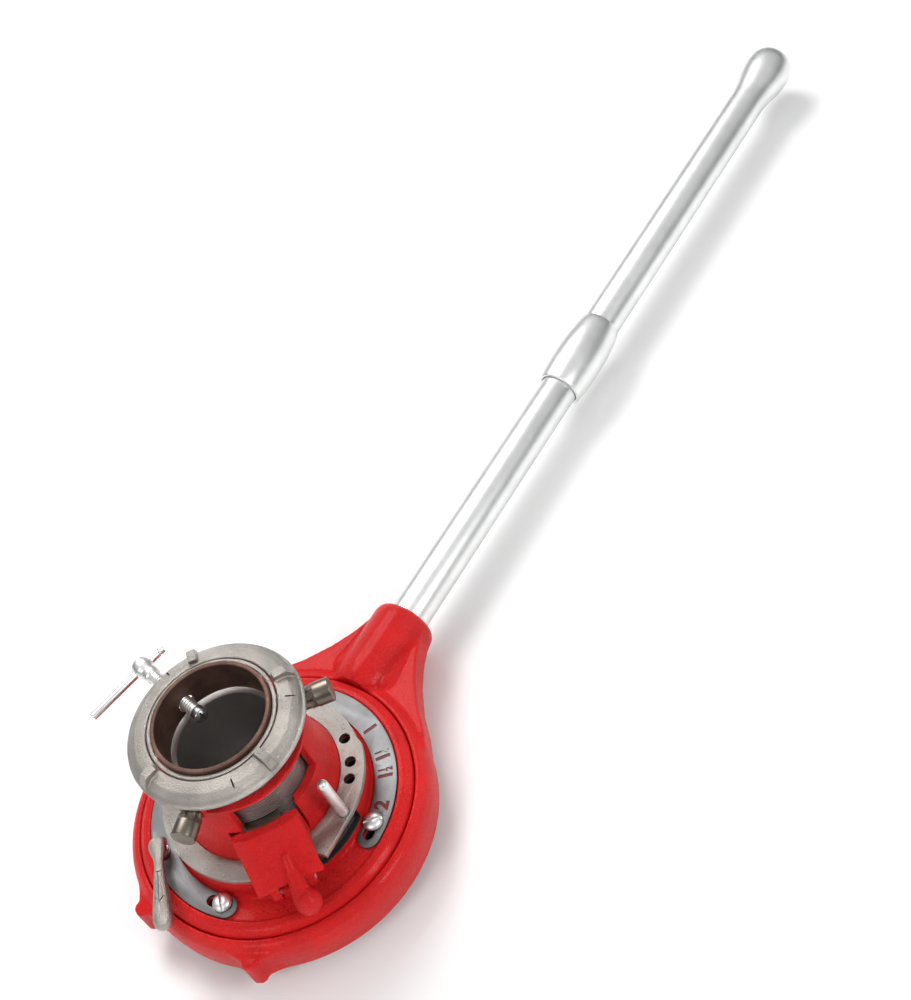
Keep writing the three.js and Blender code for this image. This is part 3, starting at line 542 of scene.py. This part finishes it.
def size_plate():
    inner, outer, start, end = 67.8, 82.4, 2, 282
    middle, half = (inner + outer) / 2, (outer - inner) / 2
    plate = arc_slot(middle, half, start, end, -2.3, 0)
    slots = [arc_slot(SLOT_R, 3.7, a, b, -5, 5) for a, b in DIAL_SLOTS]
    stud = arc_slot(STUD_R, 3.5, STUD_ANGLE + 354, STUD_ANGLE + 362, -5, 5)
    plate = eased(cut(plate, *slots, stud), 0.3)
    show(cut(plate, *dial_marks(0.3, 0.8)), "size_plate")
    ink = dial_marks(-0.36, 0.1)
    first = joined(ink[0], *ink[1:])
    show(first, "size_plate", name="dial_numbers", replaces=False, finish=INK)


def slotted(head, height, shank, depth, node, place, angle):
    screw = lathe([(0, -depth), (shank, -depth), (shank, 0), (head, 0), (head, height * 0.3),
                   (head * 0.88, height * 0.66), (head * 0.6, height * 0.92), (0, height)], 0.9, FINE)
    screw = cut(screw, block(-head, head, -0.85, 0.85, height * 0.35, height + 1))
    show(moved(eased(screw, 0.12), turn(angle), shift(*place)), node)


def selector_plate():
    tip = polar(72.5, -19.5)
    outline = arc(67.5, 6, 48) + arc(65.7, 52, 180) + arc(66.1, 180, 337) + [(tip.x, tip.y)]
    plate = cut(prism(outline, 15.2, 19.1), rod(52.4, 10, 25, steps=ROUND))
    holes = [moved(rod(3.7, 10, 25), shift(*polar(CATCH_R, a))) for a in CATCH_HOLES]
    holes += [moved(rod(2.9, 10, 17), shift(*polar(LINK_R, a))) for a in LINK_ANGLES]
    seat = moved(rod(3.8, -8, 8), PIN_PLACE)
    show(eased(cut(plate, *holes, seat), 0.5), "selector_plate")


def selector_pin():
    pin = lathe([(0, -2.6), (3.5, -2.6), (3.5, 33), (2.9, 35.1), (1.6, 36.2), (0, 36.5)], 0.8, FINE)
    show(moved(pin, PIN_PLACE), "selector_pin")


def throwout_lever():
    side = [(44.5, 43.7), (52, 43.7), (73.5, 18.5), (74.4, 15.5), (72.7, 13.6), (68.8, 13.6),
            (68.8, 20.6), (58, 22), (44.5, 22)]
    slab = moved(prism(side, -21.5, 21.5), turn(90, "X"))
    face = lathe([(0, 0), (79, 0), (79, 14), (53.5, 43.7), (53.5, 50), (0, 50)], 0)
    lever = combined(slab, [face], "INTERSECT")
    lug_room = block(60, 90, -8.3, 8.3, 0, 16)
    nut_room = rod(46.8, 22.5, 50, steps=ROUND)
    lever = cut(lever, lug_room, nut_room)
    arm = lathe([(0, -12), (4, -12), (4.4, 0), (7, 19), (0, 19)], 0, FINE)
    moved(arm, turn(90, "Y"), turn(35, "Y"), shift(71, 4, 22))
    ball = lathe([(8.2 * cos(radians(a)) if abs(a) < 90 else 0, 8.2 * sin(radians(a)))
                  for a in range(-90, 91, 10)], 0, FINE)
    ears = []
    for y in (-11.5, 11.5):
        ears.append(moved(rod(4.8, -2.9, 2.9), turn(90, "X"), shift(PIVOT_R, y, PIVOT_Z)))
        ears.append(block(68.8, 74.3, y - 2.9, y + 2.9, 9.5, 15))
    lever = joined(lever, arm, moved(ball, shift(88, 6, 11.5)), *ears)
    plate_room = lathe([(0, 12), (68.4, 12), (68.4, 20.3), (58, 21.9), (0, 21.9)], 0)
    pin_hole = moved(rod(2.6, -40, 40), turn(90, "X"), shift(PIVOT_R, 0, PIVOT_Z))
    lever = cut(lever, block(60, 80, -8.3, 8.3, 0, 16), plate_room, pin_hole)
    lever = moved(cast(lever, 0.55, 5), turn(BLOCK_ANGLE))
    show(lever, "throwout_lever", 60)
    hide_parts("throwout_foot")
    pin = moved(rod(2.3, -14.5, 14.5, 0.6), turn(90, "X"), shift(PIVOT_R, 0, PIVOT_Z), turn(BLOCK_ANGLE))
    show(pin, "throwout_pin")


def lock_lever():
    arm = lathe([(0, -6.2), (4.6, -4.2), (6.2, 0), (5.2, 5), (3.2, 10), (3.1, 15), (4, 24),
                 (5.4, 38), (6.3, 48), (6.4, 54), (4.6, 58.4), (0, 60.2)], 2.4, FINE)
    moved(arm, turn(90, "Y"), Matrix.Diagonal((1, 1, 0.78, 1)))
    arm = cut(arm, rod(2.9, -8, 1.5))
    rise = 4.27
    line = block(20, 42, -0.4, 0.4, 0, 9)
    bar = block(20, 20.8, -2, 2, 0, 9)
    barbs = [moved(block(-5, 0, -0.35, 0.35, 0, 9), turn(side * 32), shift(43, 0, 0)) for side in (1, -1)]
    laid = shift(-24, 0, 0), turn(-rise, "Y"), shift(24, 0, 2.1)
    arm = cut(arm, *[moved(mark, *laid) for mark in (line, bar, *barbs)])
    show(moved(arm, turn(-48), shift(*polar(STUD_R, STUD_ANGLE, 9.6))), "lock_lever", 40)
    refined("lock_lever_stud")


def inside_parts():
    """Gear, dies and plates: the CAD shapes with broken edges, the round plates turned finely."""
    for node in ("ratchet_gear", "half_nut", "die_cam_plate", "die_carrier", "pawl", "handle_set_screw",
                 *[f"die_{k}" for k in range(1, 5)], *[f"selector_post_{k}" for k in range(1, 4)]):
        refined(node, 0.2)
    show(tube(78.3, 91.8, -32.4, -25.3, 0.5), "ring_retainer")
    cover = lathe([(36.5, -48), (77, -48), (78, -47), (78, -44.3), (36.5, -44.3)], 0.6)
    sinks = [moved(lathe([(0, -60), (5.2, -60), (5.2, -46.2), (2.9, -46.2), (2.9, -40), (0, -40)], 0, FINE),
                   shift(*polar(COVER_R, a))) for a in COVER_SCREWS]
    show(cut(cover, *sinks), "cover_plate")
    for k, angle in enumerate(COVER_SCREWS):
        screw = lathe([(0, -47.6), (4.8, -47.6), (4.8, -46.5), (2.5, -46.5), (2.5, -37), (0, -37)], 0.3, FINE)
        screw = eased(cut(screw, block(-6, 6, -0.6, 0.6, -50, -47)), 0.1)
        show(moved(screw, turn(30 + 50 * k), shift(*polar(COVER_R, angle))), f"cover_screw_{k + 1}")


# ---------------------------------------------------------------- lead screw and workholder

INDEX_MARKS = (40, -38, 162)

def lead_screw():
    show(thread(38.5, 40.3, 33.5, -18, 72, 2.209), "lead_screw", 25)


def workholder():
    ring = lathe([(40.8, 70.8), (49.2, 70.8), (50, 71.6), (50, 89.4), (38.5, 89.4), (38.5, 75), (36.8, 75),
                  (36.8, 72.3), (40.8, 72.3)], 0.5)
    angles = (*JAW_ANGLES, CLAMP_ANGLE)
    band = [combined(on_radius(rod(8.2, 40, 54), a), [tube(48, 60, 70.8, 89.4)], "INTERSECT") for a in angles]
    holes = [on_radius(rod(5.8, 30, 60), a) for a in JAW_ANGLES]
    holes += [on_radius(rod(6.9, 45.5, 60), a) for a in JAW_ANGLES]
    holes += [on_radius(rod(5.8, 30, 44), CLAMP_ANGLE), on_radius(rod(5, 40, 60), CLAMP_ANGLE)]
    show(cast(cut(joined(ring, *band), *holes), 0.55, 3), "workholder_body", 60)
    sleeve = lathe([(35.3, 75.5), (38.2, 75.5), (38.2, 101.5), (35.3, 101.5)], 0.8)
    show(cut(sleeve, *[on_radius(rod(5.8, 25, 45), a) for a in angles]), "bore_sleeve")
    show(tube(38.6, 41.3, 97, 99, 1.2), "cam_ring_clip", finish=LOOKS["nickel_casting"])


def cam_ring():
    ring = lathe([(41.9, 89.8), (56.4, 89.8), (57, 90.4), (57, 91.6), (55, 92.2), (53.8, 94.6), (50, 97.6),
                  (46, 98.6), (42.7, 99), (41.9, 98.4)], 0.7)
    side = [(42.6, 97), (55.4, 92.4), (55.8, 95.5), (52, 102), (43.6, 102.6)]
    lugs = [moved(prism(side, -2.8, 2.8), turn(90, "X"), turn(a)) for a in (141, 60, -11, -106)]
    ring = cast(joined(ring, *lugs), 0.45, 4)
    marks = [moved(block(46.5, 52, -0.55, 0.55, 94.5, 100), turn(a)) for a in INDEX_MARKS]
    ring = cut(ring, *marks)
    show(ring, "cam_ring", 60)


def jaws():
    for k, angle in enumerate(JAW_ANGLES, 1):
        head = lathe([(0, 60.4), (7.6, 60.4), (7.6, 71), (0, 71)], 0.7, FINE)
        hexagon = prism(arc(7.2, 0, 300, 60), 56.6, 60.6)
        neck = rod(6.6, 46, 57, 0.2)
        cap = cut(joined(head, hexagon, neck), rod(5.8, 40, 68))
        show(on_radius(eased(cap, 0.2), angle), f"jaw_cap_{k}")
        show(on_radius(rod(5.4, 35, 67.4, 0.8), angle), f"jaw_{k}")


def clamp():
    foot = lathe([(0, 18), (3, 18), (5.2, 20), (5.2, 24.6), (0, 24.6)], 0.6, FINE)
    foot = cut(foot, block(-6, 6, -0.7, 0.7, 17, 19.2))
    show(on_radius(foot, CLAMP_ANGLE), "clamp_foot")
    shank = thread(3.85, 4.5, 0, 24.9, 69, 2.0, FINE)
    head = lathe([(0, 68.6), (4.5, 68.6), (5.6, 70), (5.8, 73), (5, 74.5), (6.6, 78), (7, 81),
                  (6.6, 84), (4.4, 86.6), (0, 87.2)], 0.5, FINE)
    cross = moved(rod(2.9, -20, 20), turn(90, "X"), shift(0, 0, 81))
    show(on_radius(cut(joined(shank, head), cross), CLAMP_ANGLE), "clamp_screw", 25)
    bar = lathe([(0, -17.4), (2.6, -17.4), (2.6, -14.4), (2.2, -14), (2.2, -13.4), (2.6, -13),
                 (2.6, 43.3), (0, 43.3)], 0.9, FINE)
    place = shift(*polar(81, CLAMP_ANGLE, JAW_Z))
    show(moved(bar, turn(-90, "X"), turn(CLAMP_ANGLE), place), "clamp_bar")


# ---------------------------------------------------------------- ratchet ring and handle

PAWL_Z = -18.4
SET_SCREW_Y = 140

def ratchet_ring():
    rim = lathe([(80, -33), (98, -34), (100, -33), (100.6, -26), (101.4, -22), (101.4, -15),
                 (99.6, -9.5), (96.5, -6), (94, -5), (80, -5)], 1)
    flank = [(19, 151), (21.5, 141), (27, 128), (34.5, 115), (47.5, 97.5), (61, 84), (69, 74)]
    neck = prism([(-69, 60), (69, 60), *reversed(flank), *[(-x, y) for x, y in flank]], -27, -9)
    boss = on_handle(lathe([(0, 84), (16, 88), (20.5, 96), (21.5, 106), (21.5, 149), (19.9, 153), (16.5, 155),
                            (0, 155)], 2))
    shoulder = lathe([(0, 86), (14, 92), (19.5, 104), (17.5, 128), (0, 146)], 3)
    shoulder = on_handle(moved(shoulder, Matrix.Diagonal((1.5, 0.8, 1, 1))))
    half = ((96, 13), (100.4, 9), (104, 3.4), (107.6, 2.4), (109.5, 1.2))
    spurs = []
    for angle in (-65, -115):
        points = [polar(r, angle - d) for r, d in half] + [polar(r, angle + d) for r, d in reversed(half)]
        spurs.append(prism([(p.x, p.y) for p in points], -32, -10))
    bore = lathe([(0, -60), (93.2, -60), (93.2, -25), (88.6, -25), (88.6, -12.1), (92.3, -12.1), (92.3, 20),
                  (0, 20)], 0)
    socket = on_handle(rod(13.65, 121.5, 160, steps=FINE))
    pawl_bore = on_handle(rod(5.5, 80, 123.5), PAWL_Z)
    screw_hole = moved(rod(3.4, -60, HANDLE_Z), shift(0, SET_SCREW_Y, 0))
    slot = block(-2.4, 2.4, 95.4, 107.6, -60, PAWL_Z)
    ring = cut(joined(rim, neck, boss, shoulder, *spurs), bore, socket, pawl_bore, screw_hole, slot)
    show(cast(ring, 0.9, 14), "ratchet_ring", 60)


def pawl_parts():
    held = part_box("pawl")[0].y - (AXIS.y + 0.0842)
    knob = lathe([(0, -46), (5, -46), (6.2, -45), (6.2, -43.6), (5.7, -43.2), (6.2, -42.8),
                  (6.2, -40.8), (5, -39.6), (1.6, -39.6), (1.6, -19.4), (0, -19.4)], 0.3, FINE)
    show(moved(knob, shift(0, 98 + held * 1000, 0)), "pawl_knob")
    coil = bpy.data.curves.new("coil", "CURVE")
    coil.dimensions = "3D"
    coil.bevel_depth = 0.6
    coil.bevel_resolution = 3
    coil.use_fill_caps = True
    spline = coil.splines.new("POLY")
    count = 120
    start, end = 111.5, 120.6
    spline.points.add(count)
    for k, point in enumerate(spline.points):
        around = tau * 5 * k / count
        point.co = (3.4 * cos(around), start + (end - start) * k / count, 3.4 * sin(around) + PAWL_Z, 1)
    show(from_curve(coil), "pawl_spring")


def handle():
    lower = on_handle(lathe([(10.5, 122.5), (13.35, 122.5), (13.35, 391), (10.5, 391)], 0.5, 96))
    show(cut(lower, moved(rod(3.4, -60, HANDLE_Z), shift(0, SET_SCREW_Y, 0))), "handle_tube")
    coupling = lathe([(13.65, 362), (15.6, 362), (16.2, 364.5), (17.3, 375), (17.7, 389), (17.2, 404),
                      (15.6, 419), (14.4, 424), (13.65, 424)], 2.5, 96)
    show(on_handle(coupling), "handle_coupling", 50)
    grip = lathe([(10.5, 392), (13.35, 392), (13.35, 664), (14.4, 674), (16.8, 686), (17.9, 697),
                  (17.2, 706), (13.6, 712.6), (7, 715.2), (0, 716), (0, 690), (10.5, 670)], 4, 96)
    show(on_handle(grip), "handle_grip_tube", 50)


studio()
drum()
cage()
size_plate()
for k, angle in enumerate(SIZE_SCREWS, 1):
    slotted(6.4, 4, 2.8, 12, f"size_screw_{k}", polar(SCREW_R, angle, GAP), angle + 35)
selector_plate()
selector_pin()
throwout_lever()
lock_lever()
inside_parts()
lead_screw()
workholder()
cam_ring()
jaws()
clamp()
ratchet_ring()
pawl_parts()
handle()
